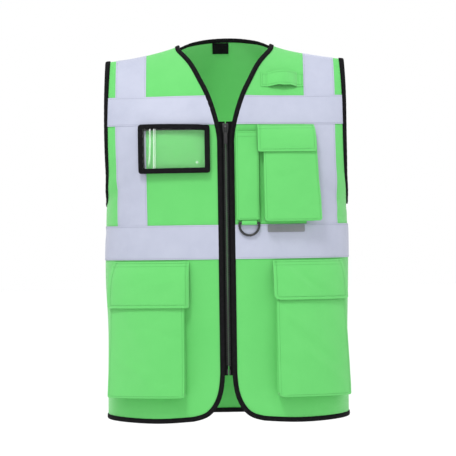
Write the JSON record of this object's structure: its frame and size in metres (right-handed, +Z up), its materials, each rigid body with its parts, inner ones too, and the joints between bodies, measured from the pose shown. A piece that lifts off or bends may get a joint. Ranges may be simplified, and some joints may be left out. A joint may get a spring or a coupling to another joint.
{
  "type": "high visibility vest",
  "caption": "Sleeveless green safety vest with reflective bands, front zip, flap pockets, clear card sleeve, radio strip and D-ring.",
  "frame": {"origin": "under the top of the back neckline, midway between the shoulders, in the plane of the shoulder seams", "axes": "+Z up when worn, front faces -Y, the wearer's left at +X"},
  "size_m": [0.4342, 0.2539, 0.6794],
  "materials": {
    "hi_vis_cloth": "matte woven polyester, bright green",
    "reflective_tape": "grey retroreflective tape, satin",
    "binding": "black ribbed bias binding",
    "zip_cloth": "black woven zip tape",
    "zip_plastic": "black moulded teeth",
    "zip_metal": "black enamel",
    "clear_film": "clear flexible film",
    "hook_and_loop": "green hook and loop pile",
    "label": "black woven label, plain",
    "tag": "grey rubbery tag, plain",
    "ring_plastic": "black moulded ring"
  },
  "bodies": {
    "back": {"back_panel": "hi_vis_cloth", "back_neck_binding": "binding", "back_hem_binding": "binding", "right_back_armhole_binding": "binding", "left_back_armhole_binding": "binding", "back_chest_tape": "reflective_tape", "back_waist_tape": "reflective_tape", "right_back_tape": "reflective_tape", "left_back_tape": "reflective_tape", "neck_label": "label"},
    "right_front": {"right_front_panel": "hi_vis_cloth", "right_front_binding": "binding", "right_front_armhole_binding": "binding", "right_shoulder_tape": "reflective_tape", "right_chest_tape": "reflective_tape", "right_waist_tape": "reflective_tape", "right_zip_tape": "zip_cloth", "right_zip_teeth": "zip_plastic", "right_lower_pocket": "hi_vis_cloth", "right_pocket_loop_patch": "hook_and_loop", "zip_insertion_pin": "zip_plastic"},
    "left_front": {"left_front_panel": "hi_vis_cloth", "left_front_binding": "binding", "left_front_armhole_binding": "binding", "left_shoulder_tape": "reflective_tape", "left_chest_tape": "reflective_tape", "left_waist_tape": "reflective_tape", "left_zip_tape": "zip_cloth", "left_zip_teeth": "zip_plastic", "left_lower_pocket": "hi_vis_cloth", "left_pocket_loop_patch": "hook_and_loop", "zip_retainer_box": "zip_plastic", "phone_pocket_base": "hi_vis_cloth", "phone_pocket": "hi_vis_cloth", "phone_pocket_loop_patch": "hook_and_loop", "pen_pocket": "hi_vis_cloth", "badge_strip": "hi_vis_cloth", "d_ring_tab": "hi_vis_cloth", "grey_tag": "tag"},
    "right_flap": {"right_pocket_flap": "hi_vis_cloth", "right_flap_hook_patch": "hook_and_loop"},
    "left_flap": {"left_pocket_flap": "hi_vis_cloth", "left_flap_hook_patch": "hook_and_loop"},
    "phone_flap": {"phone_pocket_flap": "hi_vis_cloth", "phone_flap_hook_patch": "hook_and_loop"},
    "id_sleeve": {"id_pocket_binding": "binding", "id_pocket_front_film": "clear_film", "id_pocket_back_film": "clear_film"},
    "d_ring": {"d_ring": "ring_plastic"},
    "slider": {"zip_slider": "zip_metal"},
    "pull": {"zip_pull": "zip_metal"}
  },
  "joints": [
    {"name": "right_front_open", "type": "hinge", "parent": "back", "child": "right_front", "pos_m": [-0.2138, 0, -0.34], "axis": [0, 0, -1], "range_deg": [0, 25]},
    {"name": "left_front_open", "type": "hinge", "parent": "back", "child": "left_front", "pos_m": [0.2138, 0, -0.34], "axis": [0, 0, 1], "range_deg": [0, 25]},
    {"name": "zip_slide", "type": "slide", "parent": "left_front", "child": "slider", "axis": [0, -0.028, -0.9996], "range_m": [0, 0.408]},
    {"name": "zip_pull_hinge", "type": "hinge", "parent": "slider", "child": "pull", "pos_m": [0, -0.11501, -0.16325], "axis": [-1, 0, 0], "range_deg": [0, 140]},
    {"name": "right_flap_lift", "type": "hinge", "parent": "right_front", "child": "right_flap", "pos_m": [-0.13815, -0.10365, -0.397], "axis": [-0.9242, 0.382, 0], "range_deg": [0, 110]},
    {"name": "left_flap_lift", "type": "hinge", "parent": "left_front", "child": "left_flap", "pos_m": [0.14441, -0.10129, -0.397], "axis": [-0.9133, -0.4073, 0], "range_deg": [0, 110]},
    {"name": "phone_flap_lift", "type": "hinge", "parent": "left_front", "child": "phone_flap", "pos_m": [0.10574, -0.10116, -0.1605], "axis": [-0.9727, -0.232, 0], "range_deg": [0, 110]},
    {"name": "id_sleeve_lift", "type": "hinge", "parent": "right_front", "child": "id_sleeve", "pos_m": [-0.09107, -0.11095, -0.16], "axis": [-0.9788, 0.2046, 0], "range_deg": [0, 60]},
    {"name": "d_ring_swing", "type": "hinge", "parent": "left_front", "child": "d_ring", "pos_m": [0.03931, -0.12003, -0.33136], "axis": [-1, 0, 0], "range_deg": [0, 100]}
  ],
  "couplings": [
    {"joint": "right_front_open", "follows": "zip_slide", "rad_per_m": 1.05},
    {"joint": "left_front_open", "follows": "zip_slide", "rad_per_m": 1.05}
  ]
}
